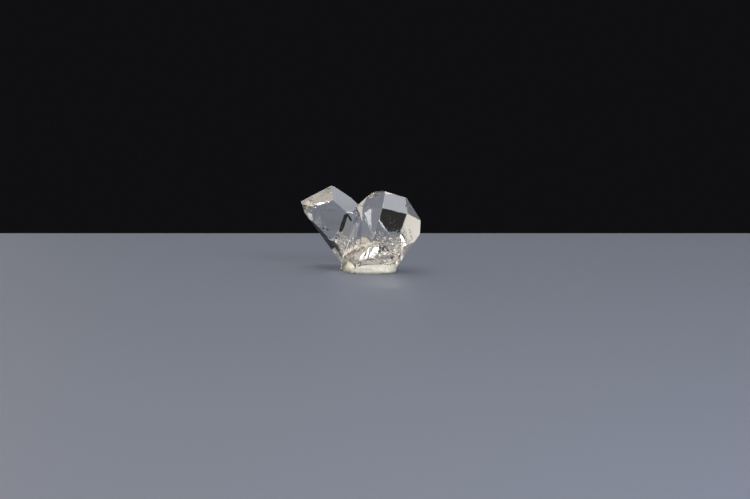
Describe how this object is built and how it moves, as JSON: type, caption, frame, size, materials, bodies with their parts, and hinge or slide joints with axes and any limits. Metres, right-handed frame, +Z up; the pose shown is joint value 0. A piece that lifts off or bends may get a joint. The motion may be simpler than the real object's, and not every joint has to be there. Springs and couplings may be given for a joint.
{
  "type": "quartz crystal",
  "caption": "Clear quartz: two faceted, see-through crystals grown together in a V on one cloudy broken foot, cut flat to stand.",
  "frame": {"origin": "middle of the pair's box, on the flat underside of the foot", "axes": "+X runs from the left crystal to the right one, the longest way across; +Y points away from the front faces; +Z is up"},
  "size_m": [0.0308, 0.0242, 0.0209],
  "materials": {
    "clear_quartz": "clear, glassy natural crystal faces, slightly warm, milky and fractured towards the foot"
  },
  "bodies": {
    "root": {"quartz_crystal": "clear_quartz"}
  },
  "joints": []
}
